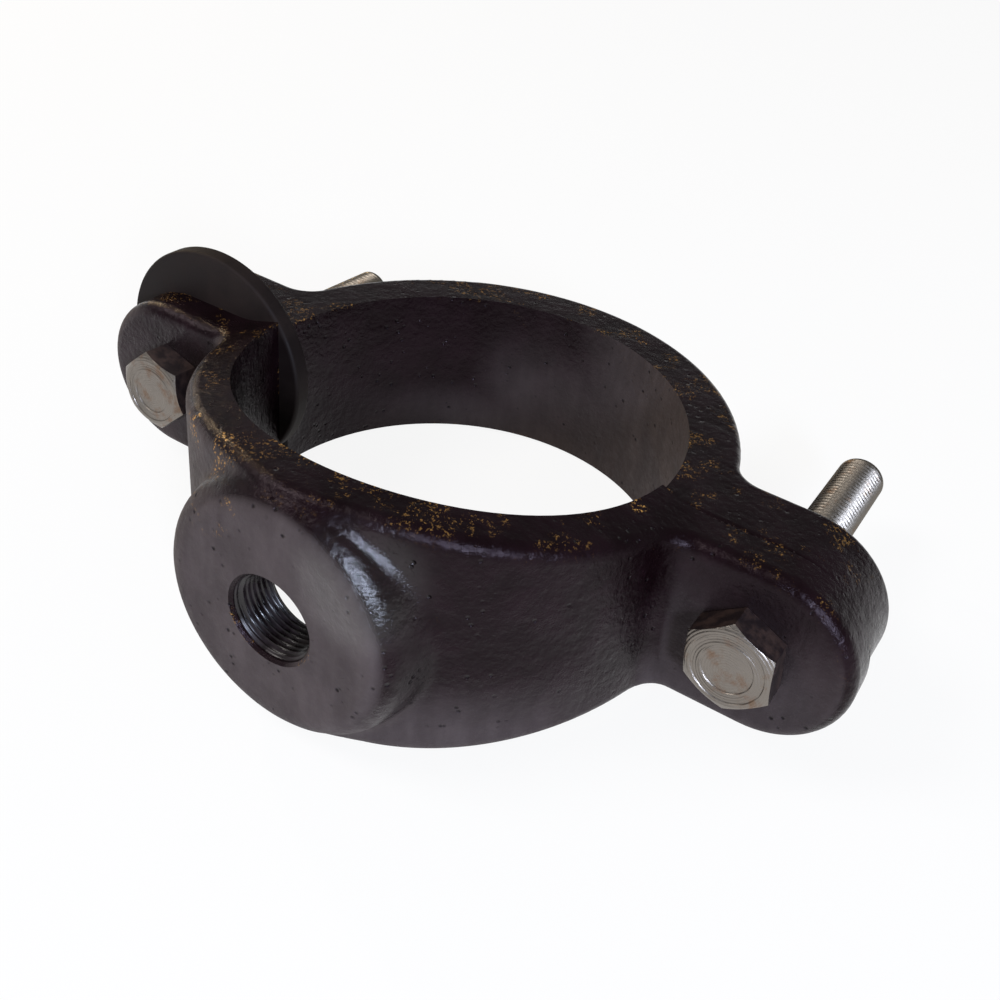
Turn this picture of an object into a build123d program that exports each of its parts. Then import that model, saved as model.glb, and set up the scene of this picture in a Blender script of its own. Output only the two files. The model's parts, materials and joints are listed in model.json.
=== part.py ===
from build123d import *
from math import atan, cos, degrees, radians, sin, sqrt, tan
import os

os.makedirs("parts", exist_ok=True)

# A cast iron tapping saddle: a front half with a threaded outlet and a rear strap, drawn round a
# pipe by two bolts. The pipe stands along Z, the outlet faces -Y and the bolts lie along Y.
# The origin is on the pipe's axis at mid-height.

# Pipe
bore_r = 70.0

# Ears, alike on both halves
ear_half = 27.0
ear_end = 135.6
bolt_inset = 30.8
bolt_hole_gap = 2.5

# Front half
saddle_wall = 12.5
saddle_ear = 13.0
saddle_mating = 7.3
rim_rise = 13.4
rim_blend_r = 30.0
saddle_corner_r = 9.0
saddle_edge_r = 4.5

# Outlet boss, drafted down to the pipe side
boss_stand = 5.7
boss_face_r = 37.5
boss_draft = 14.0
boss_depth = 28.0
boss_edge_r = 9.0
boss_root_r = 5.0
outlet_r = 13.2
outlet_lead = 0.9

# Rear strap
strap_wall = 16.0
strap_ear = 24.0
strap_corner_r = 11.0
strap_edge_r = 2.5
strap_shift = -1.6
strap_drop = 1.2

# Rubber seal of the outlet, hung on the left bolt
seal_r = 38.0
seal_hole_r = 17.0
seal_t = 6.2
seal_edge_r = 1.2
seal_toward_pipe = 5.2
seal_rise = 6.7
seat_gap = 0.5
seat_depth = 3.4

# M16 hexagon bolts and nuts
bolt_r = 8.0
bolt_length = 110.0
bolt_tip = 1.6
hex_flats = 24.0
hex_face_r = 11.4
hex_cone = 30.0
head_height = 10.0
nut_height = 13.0
thread_gap = 0.05
right_hex_turn = 25.0
left_hex_turn = 17.2
bolt_droop = 2.3
bolt_lift = 0.8

# Clearance between pieces that only touch
touch = 0.05

# Places that follow from the sizes
saddle_r = bore_r + saddle_wall
strap_r = bore_r + strap_wall
rim_half = ear_half + rim_rise
boss_y = -(saddle_r + boss_stand)
boss_foot_y = boss_y + boss_depth
boss_foot_r = boss_face_r + boss_depth * tan(radians(boss_draft))
saddle_front = -(saddle_mating + saddle_ear)
bolt_x = ear_end - bolt_inset
bolt_hole_r = bolt_r + bolt_hole_gap
seal_x = -bolt_x + seal_toward_pipe
nut_hole_r = bolt_r + thread_gap
round_x = ear_end - ear_half
hex_r = hex_flats / sqrt(3)
hex_crown = (hex_r - hex_face_r) * tan(radians(hex_cone))
blank = 4 * ear_end

# The loose strap leans on the right ears' ends and on the seal, which keeps its left side off the
# saddle, and hangs a little low and to the left on its bolts
lean = atan((seal_t + touch) / (ear_end + bore_r))
strap_mating = (ear_end * sin(lean) - saddle_mating + touch) / cos(lean)
strap_back = strap_mating + strap_ear
strap_top = Plane(Location((strap_shift, 0, -strap_drop), (0, 0, -degrees(lean))))
strap_front = Plane(strap_top.origin, x_dir=strap_top.x_dir, z_dir=-strap_top.y_dir)


def front_view(middle_half):
    """Outline of a half from the front: ears with round ends, arched to middle_half between them."""
    with BuildSketch() as view:
        with BuildLine():
            if middle_half > ear_half:
                crown = ThreePointArc((-saddle_r, ear_half), (0, middle_half), (saddle_r, ear_half))
            else:
                crown = Line((-saddle_r, ear_half), (saddle_r, ear_half))
            mirror(crown, about=Plane.XZ)
            for side in (-1, 1):
                Line((side * saddle_r, ear_half), (side * round_x, ear_half))
                ThreePointArc((side * round_x, ear_half), (side * ear_end, 0), (side * round_x, -ear_half))
                Line((side * round_x, -ear_half), (side * saddle_r, -ear_half))
        make_face()
        if middle_half > ear_half:
            fillet(view.vertices().filter_by(lambda v: abs(abs(v.X) - saddle_r) < 0.01), rim_blend_r)
    return view.sketch


def plan_view(outer_r, ear_from, ear_to, corner_r):
    """Top view of a half: a ring cut at the mating line ear_from, with ears as thick as ear_to."""
    toward = Align.MIN if ear_to > ear_from else Align.MAX
    away = Align.MAX if ear_to > ear_from else Align.MIN
    with BuildSketch() as view:
        Circle(outer_r)
        with Locations((0, ear_from)):
            Rectangle(blank, abs(ear_to - ear_from), align=(Align.CENTER, toward))
            Rectangle(blank, 2 * outer_r, align=(Align.CENTER, away), mode=Mode.SUBTRACT)
        corners = view.vertices().filter_by(lambda v: abs(v.X) < outer_r and abs(v.Y - ear_to) < 0.01)
        fillet(corners, corner_r)
    return view.sketch


def cast_edges(half, axis, mating):
    """The as-cast edges round a half's front view, all but those of its mating face."""
    sides = half.faces().filter_by(lambda f: abs(f.normal_at().dot(axis)) < 0.02)
    edges = ShapeList(e for f in sides for e in f.edges())
    across = edges.filter_by(lambda e: abs(e.tangent_at(0.5).dot(axis)) < 0.99)
    return across.filter_by(lambda e: any(abs(v.center().dot(axis) - mating) > 0.01 for v in e.vertices()))


# Front half: one casting of half ring, ears and outlet boss
with BuildPart() as seat_blank:
    with BuildSketch(Plane.XZ):
        Circle(seal_r + seat_gap)
    extrude(amount=blank)
    Cylinder(bore_r + seat_depth, blank, mode=Mode.INTERSECT)

with BuildPart() as saddle_half:
    with BuildSketch(Plane.XY.offset(-rim_half - boss_root_r)):
        add(plan_view(saddle_r, -saddle_mating, saddle_front, saddle_corner_r))
    extrude(amount=2 * (rim_half + boss_root_r))
    with BuildSketch() as boss_profile:
        with BuildLine():
            Polyline(
                (0, boss_y), (boss_face_r, boss_y), (boss_foot_r, boss_foot_y), (0, boss_foot_y), close=True
            )
        make_face()
        fillet(boss_profile.vertices().group_by(Axis.Y)[0].sort_by(Axis.X)[-1], boss_edge_r)
    revolve(axis=Axis.Y)
    fillet(saddle_half.edges().filter_by(GeomType.BSPLINE), boss_root_r)
    with BuildSketch(Plane.XZ):
        add(front_view(rim_half))
    extrude(amount=blank, both=True, mode=Mode.INTERSECT)
    fillet(cast_edges(saddle_half, Vector(0, 1, 0), -saddle_mating), saddle_edge_r)
    Cylinder(bore_r, blank, mode=Mode.SUBTRACT)
    add(seat_blank.part, mode=Mode.SUBTRACT)
    with BuildSketch(Plane.XZ):
        Circle(outlet_r)
        with Locations((-bolt_x, 0), (bolt_x, 0)):
            Circle(bolt_hole_r)
    extrude(amount=blank, mode=Mode.SUBTRACT)
    mouth = saddle_half.edges().filter_by(GeomType.CIRCLE).group_by(Axis.Y)[0].sort_by(SortBy.RADIUS)[0]
    chamfer(mouth, outlet_lead)

# Rear half: one casting of half ring and two thicker ears, turned a little about the pipe
with BuildPart() as strap_half:
    with BuildSketch(strap_top.offset(-ear_half)):
        add(plan_view(strap_r, strap_mating, strap_back, strap_corner_r))
    extrude(amount=2 * ear_half)
    with BuildSketch(strap_front):
        add(front_view(ear_half))
    extrude(amount=blank, both=True, mode=Mode.INTERSECT)
    fillet(cast_edges(strap_half, strap_top.y_dir, strap_mating), strap_edge_r)
    with BuildSketch(strap_top):
        Circle(bore_r)
    extrude(amount=blank, both=True, mode=Mode.SUBTRACT)
    with BuildSketch(strap_front):
        with Locations((-bolt_x, 0), (bolt_x, 0)):
            Circle(bolt_hole_r)
    extrude(amount=blank, both=True, mode=Mode.SUBTRACT)

# Seal: a flat moulded ring lying on the left ear's mating face
with BuildPart() as seal_ring:
    with BuildSketch(Plane.XZ.offset(saddle_mating)):
        with Locations((seal_x, seal_rise)):
            Circle(seal_r)
            Circle(seal_hole_r, mode=Mode.SUBTRACT)
    extrude(amount=-seal_t)
    fillet(seal_ring.edges().filter_by(GeomType.CIRCLE), seal_edge_r)


def hexagon(seat, turn, height, far_corner):
    """A hexagon prism standing on the plane seat, with its corners turned to a cone at the seat."""
    with BuildPart() as block:
        with BuildSketch(seat):
            RegularPolygon(hex_flats / 2, 6, major_radius=False, rotation=turn)
        extrude(amount=height)
        with BuildSketch(Plane(seat.origin, x_dir=seat.x_dir, z_dir=-seat.y_dir)):
            with BuildLine():
                Polyline((0, 0), (hex_face_r, 0), (hex_r, hex_crown), *far_corner, (0, height), close=True)
            make_face()
        revolve(axis=Axis(seat.origin, seat.z_dir), mode=Mode.INTERSECT)
    return block.part


# The bolts droop in their holes, and the strap slides along them
along = Vector(0, cos(radians(bolt_droop)), -sin(radians(bolt_droop)))
tipped = hex_r * sin(radians(bolt_droop))

for side, sign, hex_turn in (("right", 1, right_hex_turn), ("left", -1, left_hex_turn)):
    # Bolt: its head on the front ear, its end far out behind
    bolt_seat = Plane(
        (sign * bolt_x, saddle_front - touch - tipped, bolt_lift), x_dir=(1, 0, 0), z_dir=along
    )
    with BuildPart() as bolt:
        add(hexagon(bolt_seat.offset(-head_height), hex_turn, head_height, [(hex_r, head_height)]))
        with BuildSketch(bolt_seat):
            Circle(bolt_r)
        extrude(amount=bolt_length)
        chamfer(bolt.edges().filter_by(GeomType.CIRCLE).sort_by(Axis.Y)[-1], bolt_tip)
    bolt.part.label = "bolt_" + side
    export_step(bolt.part, f"parts/bolt_{side}.step")

    # Nut: square on the bolt, so it meets the leaning strap at one edge
    strap_face = strap_back / cos(lean) - (sign * bolt_x - strap_shift - hex_r) * tan(lean)
    nut_from_head = (strap_face + tipped + touch - bolt_seat.origin.Y) / along.Y
    with BuildPart() as nut:
        nut_far = [(hex_r, nut_height - hex_crown), (hex_face_r, nut_height)]
        add(hexagon(bolt_seat.offset(nut_from_head), hex_turn, nut_height, nut_far))
        with BuildSketch(bolt_seat):
            Circle(nut_hole_r)
        extrude(amount=bolt_length, mode=Mode.SUBTRACT)
    nut.part.label = "nut_" + side
    export_step(nut.part, f"parts/nut_{side}.step")
    print(side, "bolt's axis passes", bolt_seat.origin, "along", along)

saddle_half.part.label = "saddle_half"
export_step(saddle_half.part, "parts/saddle_half.step")
strap_half.part.label = "strap_half"
export_step(strap_half.part, "parts/strap_half.step")
seal_ring.part.label = "seal_ring"
export_step(seal_ring.part, "parts/seal_ring.step")
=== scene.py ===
import json
import math
import bpy
from mathutils import Matrix, Vector


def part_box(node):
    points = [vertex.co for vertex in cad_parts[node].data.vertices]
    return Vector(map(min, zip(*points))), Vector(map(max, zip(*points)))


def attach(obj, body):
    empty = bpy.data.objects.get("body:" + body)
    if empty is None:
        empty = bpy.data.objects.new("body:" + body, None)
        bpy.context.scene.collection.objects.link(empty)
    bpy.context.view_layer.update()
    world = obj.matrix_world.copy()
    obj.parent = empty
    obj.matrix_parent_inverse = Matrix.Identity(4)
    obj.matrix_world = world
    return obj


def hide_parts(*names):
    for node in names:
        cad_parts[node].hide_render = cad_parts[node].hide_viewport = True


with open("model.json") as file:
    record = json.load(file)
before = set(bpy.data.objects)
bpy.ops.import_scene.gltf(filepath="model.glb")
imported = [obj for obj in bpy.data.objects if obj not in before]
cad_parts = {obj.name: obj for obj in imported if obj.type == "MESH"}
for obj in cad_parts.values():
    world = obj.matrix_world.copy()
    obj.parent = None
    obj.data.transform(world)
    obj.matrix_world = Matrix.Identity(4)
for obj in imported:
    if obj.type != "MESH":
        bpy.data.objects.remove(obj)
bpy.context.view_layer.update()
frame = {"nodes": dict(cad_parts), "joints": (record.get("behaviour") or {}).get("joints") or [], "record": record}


# The two halves are grey iron, cast in sand and dipped in black bitumen paint. They keep the sand's
# grain and pits and the runs of the paint. The grain is drawn coarser than real sand leaves it. The
# front half carries the boss, and the rear half is drawn to it by the bolts.
MM = 0.001
PAINT = "#0e0507"
PAINT_THIN = "#180c10"
# Pale grey of dusted faces, also used as a painted sheen of the white floor on the lower band
DUST_AND_PAINTED_SHEEN = "#59504e"
PAINT_TINT = "#e6d2de"
PIT_DARK = "#0c0809"
# Rusty orange of chipped paint, drawn bright so that it also stands as painted golden glints on edges and rims
CHIP_RUST_AND_GLINT = "#c8964f"
GRAIN_MM = 2.4
LUMP_MM = 14.0
RUN_MM = 5.0
RUN_STRETCH = 0.22
PIT_MM = 3.2
PIT_PATCH_MM = 9.8
CHIP_AND_GLINT_MM = 1.1
CHIP_AND_GLINT_PATCH_MM = 11.0
EDGE_MM = 1.6
SMOOTH = {"interpolation_type": "SMOOTHSTEP"}

# Where the faces are dusted, where a sheen of the white floor is painted on the lower band, and where the ears'
# front faces
# are paler towards the bottom: the way such a face looks, how squarely it has to look there, and its stretches as
# axis, start and full place in mm, and share at each
BOSS_FACE_DUST = ((0, -1, 0), 0.7, 0.95, ((1, -83, -87, 0.0, 1.0),))
FLANK_DUST = ((-0.8, -0.6, 0), 0.55, 0.95, ())
# Lower band: the pale grey here is a painted sheen, standing for the white floor's reflection
SKIRT_PAINTED_SHEEN = ((0.1, -0.95, -0.3), 0.3, 0.9, ((2, -6, -30, 0.0, 1.0),))
# Ears' front faces: drawn paler towards the bottom
EAR_PALER_BELOW = ((0, -1, 0), 0.85, 0.98, ((1, -50, -30, 0.0, 0.6), (2, 20, -12, 0.1, 1.0)))
BORE_DUST = ((-0.9, -0.4, 0), 0.3, 1.0, ((1, 0, 20, 0.0, 0.45),))

# Places where the paint is worn through and painted glints sit, and how far each reaches, in mm
WORN_AND_GLINT_SPOTS = (
    ((68, -22, 29), 9),
    ((-36, -72, 38), 18),
    ((-22, -84, 30), 14),
    ((-14, 71, 27), 13),
    ((22, 70, 27), 8),
)

# The paint ran together over the boss's upper shoulder and set thick
POOL_PLACE = (26, -85, 22)
POOL_RIM_MM = 24.0
POOL_CORE_MM = 8.0


def linear(code):
    """An sRGB hex colour as linear red, green, blue and 1."""
    channels = [int(code[i : i + 2], 16) / 255 for i in (1, 3, 5)]
    return [c / 12.92 if c <= 0.04045 else ((c + 0.055) / 1.055) ** 2.4 for c in channels] + [1.0]


def add_node(tree, kind, inputs, output=0, **settings):
    """Adds a node, sets or links its inputs, given by name or in order, and returns one output."""
    node = tree.nodes.new("ShaderNode" + kind)
    for name, value in settings.items():
        setattr(node, name, value)
    for name, value in inputs.items() if isinstance(inputs, dict) else enumerate(inputs):
        if isinstance(value, bpy.types.NodeSocket):
            tree.links.new(value, node.inputs[name])
        else:
            node.inputs[name].default_value = value
    return node.outputs[output]


def new_material(name):
    """A new material, its tree and its shader."""
    material = bpy.data.materials.new(name)
    material.use_nodes = True
    return material, material.node_tree, material.node_tree.nodes["Principled BSDF"]


def zone_dust_and_sheen(tree, normal, axes, zone):
    """Share of one zone of the castings under the pale grey: dusted faces, and on the lower band a painted sheen
    of the floor.
    """
    direction, turned_away, square_on, stretches = zone
    toward = add_node(tree, "VectorMath", (normal, direction), "Value", operation="DOT_PRODUCT")
    share = add_node(tree, "MapRange", (toward, turned_away, square_on, 0.0, 1.0), **SMOOTH)
    for axis, start_mm, full_mm, least, most in stretches:
        place = (axes[axis], start_mm * MM, full_mm * MM, least, most)
        place = add_node(tree, "MapRange", place, **SMOOTH)
        share = add_node(tree, "Math", (share, place), operation="MULTIPLY")
    return share


def near(tree, place, centre_mm, rim_mm, core_mm):
    """1 within core_mm of a place on the casting, and 0 beyond rim_mm."""
    centre = [c * MM for c in centre_mm]
    apart = add_node(tree, "VectorMath", (place, centre), "Value", operation="DISTANCE")
    return add_node(tree, "MapRange", (apart, rim_mm * MM, core_mm * MM, 0.0, 1.0), **SMOOTH)


def bitumen_dipped_iron():
    """Sand cast iron under bitumen: dark and glossy where clean, grey and dull where dusted and where a sheen of
    the floor is painted on the lower band.
    """
    material, tree, shader = new_material("bitumen dipped cast iron")
    place = add_node(tree, "TexCoord", {}, "Object")
    normal = add_node(tree, "TexCoord", {}, "Normal")
    axes = [add_node(tree, "SeparateXYZ", [place], axis) for axis in "XYZ"]
    downward = add_node(tree, "Mapping", {"Vector": place, "Scale": (1, 1, RUN_STRETCH)})
    noises = []
    for vector, size_mm, detail, roughness in (
        (place, GRAIN_MM, 6.0, 0.62),
        (place, LUMP_MM, 3.0, 0.55),
        (downward, RUN_MM, 4.0, 0.6),
        (place, PIT_PATCH_MM, 2.0, 0.55),
        (place, CHIP_AND_GLINT_PATCH_MM, 2.0, 0.55),
        (place, CHIP_AND_GLINT_MM, 4.0, 0.75),
    ):
        inputs = {"Vector": vector, "Scale": 1 / (size_mm * MM), "Detail": detail, "Roughness": roughness}
        noises.append(add_node(tree, "TexNoise", inputs, "Fac"))
    grain, lumps, runs, pit_patches, chip_and_glint_patches, chip_and_glint_flecks = noises

    # Pits that the sand left, in loose groups
    pits = add_node(tree, "TexVoronoi", {"Vector": place, "Scale": 1 / (PIT_MM * MM)}, "Distance")
    pits = add_node(tree, "MapRange", (pits, 0.26, 0.08, 0.0, 1.0), **SMOOTH)
    pit_patches = add_node(tree, "MapRange", (pit_patches, 0.5, 0.64, 0.0, 1.0), **SMOOTH)
    pits = add_node(tree, "Math", (pits, pit_patches), operation="MULTIPLY")

    # Dust, and on the lower band a painted sheen of the white floor, thinner between the runs of the paint
    dust_and_sheen_share = 0.0
    for zone in (BOSS_FACE_DUST, FLANK_DUST, SKIRT_PAINTED_SHEEN, EAR_PALER_BELOW, BORE_DUST):
        zone_share = zone_dust_and_sheen(tree, normal, axes, zone)
        dust_and_sheen_share = add_node(tree, "Math", (dust_and_sheen_share, zone_share), operation="MAXIMUM")
    for unevenness in ((runs, 0.30, 0.75, 0.72, 1.0), (lumps, 0.30, 0.70, 0.80, 1.0)):
        thinner = add_node(tree, "MapRange", unevenness, **SMOOTH)
        dust_and_sheen_share = add_node(tree, "Math", (dust_and_sheen_share, thinner), operation="MULTIPLY")

    # Chipped paint down to rusty iron on edges, upper rims and worn spots, in a bright gold that also paints the
    # glints there
    rounded = add_node(tree, "Bevel", {"Radius": EDGE_MM * MM}, samples=2)
    flat = add_node(tree, "NewGeometry", {}, "Normal")
    turned = add_node(tree, "VectorMath", (rounded, flat), "Value", operation="DOT_PRODUCT")
    edge = add_node(tree, "MapRange", (turned, 0.995, 0.93, 0.0, 1.0), **SMOOTH)
    upward = add_node(tree, "VectorMath", (normal, (0, 0, 1)), "Value", operation="DOT_PRODUCT")
    upper_rim = add_node(tree, "MapRange", (upward, 0.6, 0.95, 0.0, 0.3), **SMOOTH)
    chips_and_glints = add_node(tree, "Math", (edge, upper_rim), operation="MAXIMUM")
    for centre_mm, reach_mm in WORN_AND_GLINT_SPOTS:
        spot = near(tree, place, centre_mm, reach_mm, 0.4 * reach_mm)
        chips_and_glints = add_node(tree, "Math", (chips_and_glints, spot), operation="MAXIMUM")
    for speckle in ((chip_and_glint_patches, 0.52, 0.60, 0.0, 1.0), (chip_and_glint_flecks, 0.56, 0.61, 0.0, 1.0)):
        fleck = add_node(tree, "MapRange", speckle, **SMOOTH)
        chips_and_glints = add_node(tree, "Math", (chips_and_glints, fleck), operation="MULTIPLY")

    # Colours from the paint outward: thin places, dusting and the floor's painted sheen, pits, and rusty chipping
    # drawn bright as painted glints
    thin = add_node(tree, "MapRange", (lumps, 0.35, 0.7, 0.0, 1.0), **SMOOTH)
    dust_and_sheen_veil = add_node(tree, "Math", (dust_and_sheen_share, 0.75), operation="MULTIPLY")
    skin = linear(PAINT)
    for share, code in ((thin, PAINT_THIN), (dust_and_sheen_veil, DUST_AND_PAINTED_SHEEN), (pits, PIT_DARK), (chips_and_glints, CHIP_RUST_AND_GLINT)):
        skin = add_node(tree, "Mix", {0: share, 6: skin, 7: linear(code)}, 2, data_type="RGBA")
    tree.links.new(skin, shader.inputs["Base Color"])

    # Gloss: the sand cast skin is a weak mirror, but for the pool of thick paint. Both mirror less than
    # real bitumen does, which keeps the blacks deep over a white floor
    pool = near(tree, place, POOL_PLACE, POOL_RIM_MM, POOL_CORE_MM)
    mirror = add_node(tree, "MapRange", (pool, 0.0, 1.0, 0.30, 1.0), **SMOOTH)
    tree.links.new(mirror, shader.inputs["Specular IOR Level"])
    tint = {0: pool, 6: linear(PAINT_TINT), 7: linear("#ffffff")}
    tree.links.new(add_node(tree, "Mix", tint, 2, data_type="RGBA"), shader.inputs["Specular Tint"])
    shader.inputs["IOR"].default_value = 1.34
    dullness = add_node(tree, "MapRange", (dust_and_sheen_share, 0.0, 0.7, 0.20, 0.60), **SMOOTH)
    sanded = add_node(tree, "MapRange", (grain, 0.3, 0.7, -0.06, 0.08), **SMOOTH)
    dullness = add_node(tree, "Math", (dullness, sanded), operation="ADD")
    thick = add_node(tree, "MapRange", (pool, 0.0, 1.0, 1.0, 0.6), **SMOOTH)
    dullness = add_node(tree, "Math", (dullness, thick), operation="MULTIPLY")
    tree.links.new(dullness, shader.inputs["Roughness"])

    # Relief of the lumps, runs and grain, from the widest to the finest, and then of the pits
    relief = {}
    for height, depth_mm, strength, sunk in (
        (lumps, 1.1, 0.55, False),
        (runs, 0.35, 0.5, False),
        (grain, 0.6, 0.7, False),
        (pits, 0.5, 0.8, True),
    ):
        relief |= {"Height": height, "Distance": depth_mm * MM, "Strength": strength}
        relief["Normal"] = add_node(tree, "Bump", relief, invert=sunk)
    tree.links.new(relief["Normal"], shader.inputs["Normal"])
    return material


def dress(piece, material):
    """Gives a whole CAD piece one material."""
    piece.data.materials.clear()
    piece.data.materials.append(material)
    for face in piece.data.polygons:
        face.material_index = 0


coated_iron = bitumen_dipped_iron()
for name in ("saddle_half", "strap_half"):
    dress(frame["nodes"][name], coated_iron)


# The outlet has a female pipe thread, cut after casting, 14 turns to the inch. The dip ran into it,
# so it is black and glossy.
THREAD_PITCH_MM = 25.4 / 14
THREAD_DEPTH_MM = 1.15
THREAD_START_MM = 0.2
THREAD_SKIN_MM = 0.02
THREAD_ROUND = 96
THREAD_STEPS = 10


def thread_grid(wall_mm, depth_mm, pitch_mm, length_mm, start, along, inward):
    """A V thread as rings of points about the axis, whose radius follows the helix."""
    side = along.orthogonal().normalized()
    other = along.cross(side)
    rows = int(length_mm / pitch_mm * THREAD_STEPS)
    points, faces = [], []
    for row in range(rows + 1):
        reach = length_mm * row / rows
        for step in range(THREAD_ROUND):
            turn = step / THREAD_ROUND
            phase = (reach / pitch_mm + turn) % 1.0
            groove = min(1.0, max(0.0, 1.25 * abs(2 * phase - 1) - 0.125))
            fade = min(1.0, reach / pitch_mm, (length_mm - reach) / pitch_mm)
            radius = wall_mm - depth_mm * (groove if inward else 1 - groove) * fade
            spoke = side * math.cos(math.tau * turn) + other * math.sin(math.tau * turn)
            points.append(start + (along * reach + spoke * radius) * MM)
    for row in range(rows):
        for step in range(THREAD_ROUND):
            a = row * THREAD_ROUND + step
            b = row * THREAD_ROUND + (step + 1) % THREAD_ROUND
            quad = (a, b, b + THREAD_ROUND, a + THREAD_ROUND)
            faces.append(quad[::-1] if inward else quad)
    return points, faces


def new_piece(name, points, faces, material, smooth_deg):
    """A new mesh piece, smooth but for its sharp edges."""
    mesh = bpy.data.meshes.new(name)
    mesh.from_pydata([tuple(p) for p in points], [], faces)
    mesh.materials.append(material)
    mesh.polygons.foreach_set("use_smooth", [True] * len(mesh.polygons))
    mesh.set_sharp_from_angle(angle=math.radians(smooth_deg))
    piece = bpy.data.objects.new(name, mesh)
    bpy.context.scene.collection.objects.link(piece)
    return piece


def mottled_finish(name, tones, patch, spread, roughness, grain, depth_mm, strength):
    """A finish of two tones in patches, with a fine grain. patch and grain are size in mm, detail
    and roughness of a noise."""
    material, tree, shader = new_material(name)
    place = add_node(tree, "TexCoord", {}, "Object")
    noises = []
    for size_mm, detail, unevenness in (patch, grain):
        inputs = {"Vector": place, "Scale": 1 / (size_mm * MM), "Detail": detail, "Roughness": unevenness}
        noises.append(add_node(tree, "TexNoise", inputs, "Fac"))
    patches, fine = noises
    share = add_node(tree, "MapRange", (patches, *spread, 0.0, 1.0), **SMOOTH)
    tone = {0: share, 6: linear(tones[0]), 7: linear(tones[1])}
    tree.links.new(add_node(tree, "Mix", tone, 2, data_type="RGBA"), shader.inputs["Base Color"])
    dullness = add_node(tree, "MapRange", (patches, 0.3, 0.7, *roughness), **SMOOTH)
    tree.links.new(dullness, shader.inputs["Roughness"])
    relief = {"Height": fine, "Distance": depth_mm * MM, "Strength": strength}
    tree.links.new(add_node(tree, "Bump", relief), shader.inputs["Normal"])
    return material, shader


# Thick bitumen that ran into the thread: black, wet-looking crests
thread_paint, _ = mottled_finish(
    "bitumen run into the thread",
    ("#0c0607", "#1d1417"),
    patch=(4.0, 3.0, 0.55),
    spread=(0.35, 0.7),
    roughness=(0.22, 0.38),
    grain=(0.8, 3.0, 0.55),
    depth_mm=0.08,
    strength=0.5,
)
outlet = next(mount for mount in frame["record"]["mounts"] if mount["name"] == "outlet")
outlet_points, outlet_faces = thread_grid(
    outlet["dims"]["r_mm"] - THREAD_SKIN_MM,
    THREAD_DEPTH_MM,
    THREAD_PITCH_MM,
    outlet["dims"]["length_mm"] - 2 * THREAD_START_MM,
    Vector(outlet["pos_m"]) + Vector((0, THREAD_START_MM * MM, 0)),
    Vector((0, 1, 0)),
    inward=True,
)
outlet_thread = new_piece("outlet_thread", outlet_points, outlet_faces, thread_paint, 60)
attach(outlet_thread, "saddle")


# The seal is a flat ring moulded in black rubber, which hangs on the left bolt. It is matt, with a
# faint brown bloom.
rubber, shader = mottled_finish(
    "moulded black rubber",
    ("#150d0c", "#211815"),
    patch=(16.0, 4.0, 0.6),
    spread=(0.35, 0.7),
    roughness=(0.62, 0.74),
    grain=(0.9, 4.0, 0.6),
    depth_mm=0.12,
    strength=0.35,
)
shader.inputs["IOR"].default_value = 1.5
shader.inputs["Specular IOR Level"].default_value = 0.2
dress(frame["nodes"]["seal_ring"], rubber)


# The bolts are plain M16 steel bolts, threaded all along, with turned head faces. They were painted
# over with the castings and their faces wiped. The nuts are of the same steel.
BOLT_R_MM = 8.0
BOLT_LENGTH_MM = 110.0
BOLT_TIP_MM = 1.6
BOLT_TIP_RINGS_MM = (6.5, 6.2)
BOLT_PITCH_MM = 2.0
BOLT_THREAD_DEPTH_MM = 1.15
HEAD_MM = 10.0
HEAD_FLATS_MM = 24.0
HEAD_FACE_R_MM = 11.4
HEAD_CONE_DEG = 30
HEAD_TURN_DEG = {"right": 25.0, "left": 17.2}
HEAD_ROUND = 96
LATHE_MARK_MM = 0.8
STEEL = "#847d76"
STEEL_THREAD = "#767068"
STEEL_RUST = "#6f5a48"
joints = {joint["name"]: joint for joint in frame["joints"]}

# Steps of the turned face from its rim in, as radius and rise out of the face in mm. A negative rise
# is sunk into the head
HEAD_FACE_STEPS_MM = (
    (11.4, 0.0),
    (10.6, 0.0),
    (10.3, -0.25),
    (8.3, -0.25),
    (8.0, -0.05),
    (7.5, -0.05),
    (7.2, -0.3),
    (1.2, -0.3),
)


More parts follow.
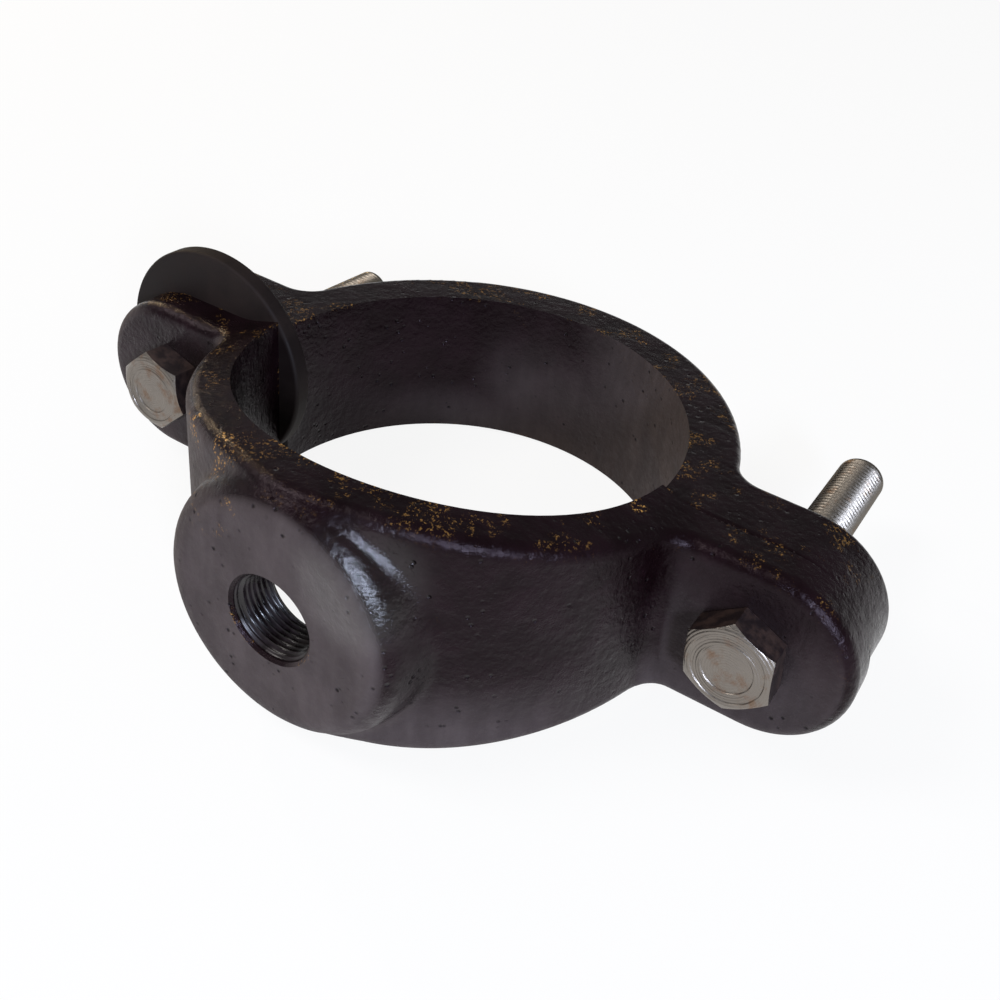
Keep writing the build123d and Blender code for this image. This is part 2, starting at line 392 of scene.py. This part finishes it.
def rusted_steel(name, base, rust_share, rust_metallic, lathe_mm=0.0):
    """Bare steel, dulled by brown rust in patches, with lathe marks about the bolt where it was
    turned. The marks are drawn coarser than a real tool's, which would not show."""
    material, tree, shader = new_material(name)
    place = add_node(tree, "TexCoord", {}, "Object")
    noises = []
    for size_mm, unevenness in ((7.0, 0.65), (0.7, 0.7)):
        inputs = {"Vector": place, "Scale": 1 / (size_mm * MM), "Detail": 5.0, "Roughness": unevenness}
        noises.append(add_node(tree, "TexNoise", inputs, "Fac"))
    stain, fine = noises
    rust = add_node(tree, "MapRange", (stain, 0.62 - rust_share, 0.78 - rust_share, 0.0, 1.0), **SMOOTH)
    tone = {0: rust, 6: linear(base), 7: linear(STEEL_RUST)}
    tree.links.new(add_node(tree, "Mix", tone, 2, data_type="RGBA"), shader.inputs["Base Color"])
    bare = add_node(tree, "MapRange", (rust, 0.0, 1.0, 1.0, rust_metallic), **SMOOTH)
    tree.links.new(bare, shader.inputs["Metallic"])
    dullness = add_node(tree, "MapRange", (fine, 0.3, 0.7, 0.26, 0.48), **SMOOTH)
    tree.links.new(dullness, shader.inputs["Roughness"])
    relief = add_node(tree, "Bump", {"Height": fine, "Distance": 0.10 * MM, "Strength": 0.5})
    if lathe_mm:
        x, z = [add_node(tree, "SeparateXYZ", [place], axis) for axis in "XZ"]
        aside = add_node(tree, "Math", [x], operation="ABSOLUTE")
        bolt_x = joints["bolt_right_spin"]["pos_m"][0]
        aside = add_node(tree, "Math", (aside, bolt_x), operation="SUBTRACT")
        spoke = add_node(tree, "CombineXYZ", {"X": aside, "Z": z})
        radius = add_node(tree, "VectorMath", [spoke], "Value", operation="LENGTH")
        turns = add_node(tree, "Math", (radius, math.tau / (lathe_mm * MM)), operation="MULTIPLY")
        marks = add_node(tree, "Math", [turns], operation="SINE")
        marks = {"Height": marks, "Distance": 0.04 * MM, "Strength": 0.8, "Normal": relief}
        relief = add_node(tree, "Bump", marks)
    tree.links.new(relief, shader.inputs["Normal"])
    return material


def bolt_mesh(seat, along, turn_deg):
    """Points, faces and each face's finish: 0 the turned face, 1 the head's sides, 2 the thread."""
    across = Vector((1, 0, 0))
    down = along.cross(across)
    points, faces, finishes = [], [], []

    def hex_radius(step):
        from_flat = (360 * step / HEAD_ROUND) % 60 - 30
        return HEAD_FLATS_MM / 2 / math.cos(math.radians(from_flat))

    def crown_height(step):
        return (hex_radius(step) - HEAD_FACE_R_MM) * math.tan(math.radians(HEAD_CONE_DEG)) - HEAD_MM

    def add_ring(radii_mm, heights_mm):
        """Adds a ring of points about the axis and returns its first point's number."""
        for step, (radius, height) in enumerate(zip(radii_mm, heights_mm)):
            angle = math.tau * step / HEAD_ROUND + math.radians(turn_deg)
            spoke = across * math.cos(angle) + down * math.sin(angle)
            points.append(seat + (spoke * radius + along * height) * MM)
        return len(points) - HEAD_ROUND

    def add_band(first, second, count, finish):
        """Joins two rings of points by a band of faces."""
        for step in range(count):
            after = (step + 1) % count
            faces.append((first + step, first + after, second + after, second + step))
            finishes.append(finish)

    # Head: its underside, its six flats and its turned face
    steps = range(HEAD_ROUND)
    hex_radii = [hex_radius(step) for step in steps]
    under_inner = add_ring([BOLT_R_MM] * HEAD_ROUND, [0.0] * HEAD_ROUND)
    under_outer = add_ring(hex_radii, [0.0] * HEAD_ROUND)
    last = add_ring(hex_radii, [crown_height(step) for step in steps])
    add_band(under_outer, under_inner, HEAD_ROUND, 1)
    add_band(last, under_outer, HEAD_ROUND, 1)
    for radius, rise in HEAD_FACE_STEPS_MM:
        inner = add_ring([radius] * HEAD_ROUND, [-HEAD_MM - rise] * HEAD_ROUND)
        add_band(inner, last, HEAD_ROUND, 0)
        last = inner
    faces.append(tuple(last + step for step in steps))
    finishes.append(0)

    # Shank, threaded all along
    threaded_mm = BOLT_LENGTH_MM - BOLT_TIP_MM
    crest_mm = BOLT_R_MM - THREAD_SKIN_MM
    shank = thread_grid(crest_mm, BOLT_THREAD_DEPTH_MM, BOLT_PITCH_MM, threaded_mm, seat, along, inward=False)
    offset = len(points)
    points += shank[0]
    faces += [tuple(offset + i for i in face) for face in shank[1]]
    finishes += [2] * len(shank[1])

    # Chamfered end
    last = len(points) - THREAD_ROUND
    thread_end = seat + along * threaded_mm * MM
    spokes = [(point - thread_end).normalized() for point in points[last:]]
    for radius in BOLT_TIP_RINGS_MM:
        inner = len(points)
        points += [seat + (spoke * radius + along * BOLT_LENGTH_MM) * MM for spoke in spokes]
        add_band(last, inner, THREAD_ROUND, 2)
        last = inner
    faces.append(tuple(last + step for step in range(THREAD_ROUND)))
    finishes.append(2)
    return points, faces, finishes


# Head faces: steel turned on a lathe and worn, grey with a brown stain
head_steel = rusted_steel("worn turned steel", STEEL, 0.10, 0.6, LATHE_MARK_MM)
# Threads and nuts: rolled steel, darker, with a little rust in patches
thread_steel = rusted_steel("rolled thread steel", STEEL_THREAD, 0.06, 0.8)
# Head sides: bitumen painted over steel, brown-black and half glossy
side_paint, _ = mottled_finish(
    "bitumen painted steel",
    ("#1d1516", "#3b2d29"),
    patch=(4.0, 4.0, 0.6),
    spread=(0.40, 0.66),
    roughness=(0.40, 0.44),
    grain=(1.2, 4.0, 0.55),
    depth_mm=0.15,
    strength=0.5,
)

for side in ("right", "left"):
    joint = joints[f"bolt_{side}_spin"]
    along = Vector(joint["axis"]).normalized()
    points, faces, finishes = bolt_mesh(Vector(joint["pos_m"]), along, HEAD_TURN_DEG[side])
    bolt = new_piece(f"bolt_{side}_threaded", points, faces, head_steel, 35)
    bolt.data.materials.append(side_paint)
    bolt.data.materials.append(thread_steel)
    bolt.data.polygons.foreach_set("material_index", finishes)
    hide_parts(f"bolt_{side}")
    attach(bolt, f"bolt_{side}")
    dress(frame["nodes"][f"nut_{side}"], thread_steel)


# A plain pale floor of white paper, tipped so that the front half's lower rim and the rear half's
# back both stand on it.
FLOOR = "#f4f4f4"
FLOOR_HALF = 6.0
FLOOR_SHOWN_WHITE = 0.9
SADDLE_FOOT_Y = -0.070
STRAP_FOOT_Y = 0.084
saddle_foot = Vector((0, SADDLE_FOOT_Y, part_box("saddle_half")[0][2]))
strap_foot = Vector((0, STRAP_FOOT_Y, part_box("strap_half")[0][2]))
tip = math.atan2(strap_foot.z - saddle_foot.z, strap_foot.y - saddle_foot.y)
floor_corners = [(x * FLOOR_HALF, y * FLOOR_HALF, 0) for x, y in ((-1, -1), (1, -1), (1, 1), (-1, 1))]
paper, tree, shader = new_material("white paper")
shader.inputs["Base Color"].default_value = linear(FLOOR)
shader.inputs["Roughness"].default_value = 0.9
glow = add_node(tree, "Emission", {"Color": linear("#ffffff"), "Strength": 1.0})
seen = 0.0
for ray in ("Is Camera Ray", "Is Glossy Ray", "Is Transmission Ray"):
    seen = add_node(tree, "Math", (seen, add_node(tree, "LightPath", {}, ray)), operation="MAXIMUM")
seen = add_node(tree, "Math", (seen, FLOOR_SHOWN_WHITE), operation="MULTIPLY")
surface = add_node(tree, "MixShader", (seen, shader.outputs[0], glow))
tree.links.new(surface, tree.nodes["Material Output"].inputs["Surface"])
floor = new_piece("floor", floor_corners, [(0, 1, 2, 3)], paper, 30)
floor.matrix_world = Matrix.Translation(saddle_foot) @ Matrix.Rotation(tip, 4, "X")


# Soft studio light: an even pale room, a large soft lamp from the left and above, a small cool
# window to the right, and a small warm lamp on the left and a little behind, low over the chipped rims and their
# painted glints.
ROOM_LEVEL = 0.25


def add_lamp(name, place_mm, aim_mm, size_mm, watts, colour):
    """A round soft lamp at place_mm that looks at aim_mm."""
    lamp = bpy.data.lights.new(name, "AREA")
    lamp.shape = "DISK"
    lamp.size = size_mm * MM
    lamp.energy = watts
    lamp.color = linear(colour)[:3]
    stand = bpy.data.objects.new(name, lamp)
    aim = Vector(aim_mm) - Vector(place_mm)
    turn = aim.to_track_quat("-Z", "Y").to_matrix().to_4x4()
    stand.matrix_world = Matrix.Translation(Vector(place_mm) * MM) @ turn
    bpy.context.scene.collection.objects.link(stand)


add_lamp("soft lamp", (-900, -700, 1300), (0, 0, 0), 700, 13, "#fff9f4")
add_lamp("window", (830, -860, 480), (20, -85, 20), 260, 17, "#d8e5ff")
add_lamp("warm lamp", (-1100, 300, 500), (0, 0, 30), 70, 2.5, "#ffe0ae")

room = bpy.data.worlds.new("room")
bpy.context.scene.world = room
room.use_nodes = True
tree = room.node_tree
sky = tree.nodes["Background"]
sky.inputs["Color"].default_value = linear("#ffffff")
camera_ray = add_node(tree, "LightPath", {}, "Is Camera Ray")
level = add_node(tree, "MapRange", (camera_ray, 0.0, 1.0, ROOM_LEVEL, 1.0), **SMOOTH)
tree.links.new(level, sky.inputs["Strength"])
bpy.context.scene.view_settings.view_transform = "Standard"


# The camera stands in front and to the right, looks down on the middle of the two halves and is
# rolled a little.
CAMERA_AZIMUTH = 28.45
CAMERA_ELEVATION = 30.81
CAMERA_ROLL = 6.67
CAMERA_DISTANCE_MM = 358.4
CAMERA_AIM_MM = (0, -7.3, -2.0)
CAMERA_SIDE_MM = 23.9
CAMERA_UP_MM = 29.1
PICTURE_PX = 1000
FOCAL_PX = 1141.7
CENTRE_PX = (523.3, 393.4)
NEAREST_M = 0.01
azimuth, elevation, roll = [math.radians(d) for d in (CAMERA_AZIMUTH, CAMERA_ELEVATION, CAMERA_ROLL)]
flat_out = Vector((math.sin(azimuth), -math.cos(azimuth), 0))
out = flat_out * math.cos(elevation) + Vector((0, 0, math.sin(elevation)))
level = Vector((math.cos(azimuth), math.sin(azimuth), 0))
upright = out.cross(level)
right = math.cos(roll) * level + math.sin(roll) * upright
up = -math.sin(roll) * level + math.cos(roll) * upright
lens = bpy.data.cameras.new("camera")
lens.lens = FOCAL_PX / PICTURE_PX * lens.sensor_width
lens.shift_x = (PICTURE_PX / 2 - CENTRE_PX[0]) / PICTURE_PX
lens.shift_y = (CENTRE_PX[1] - PICTURE_PX / 2) / PICTURE_PX
lens.clip_start = NEAREST_M
camera = bpy.data.objects.new("camera", lens)
place_mm = Vector(CAMERA_AIM_MM) + out * CAMERA_DISTANCE_MM + right * CAMERA_SIDE_MM + up * CAMERA_UP_MM
camera.matrix_world = Matrix.Translation(place_mm * MM) @ Matrix((right, up, out)).transposed().to_4x4()
bpy.context.scene.collection.objects.link(camera)
bpy.context.scene.camera = camera
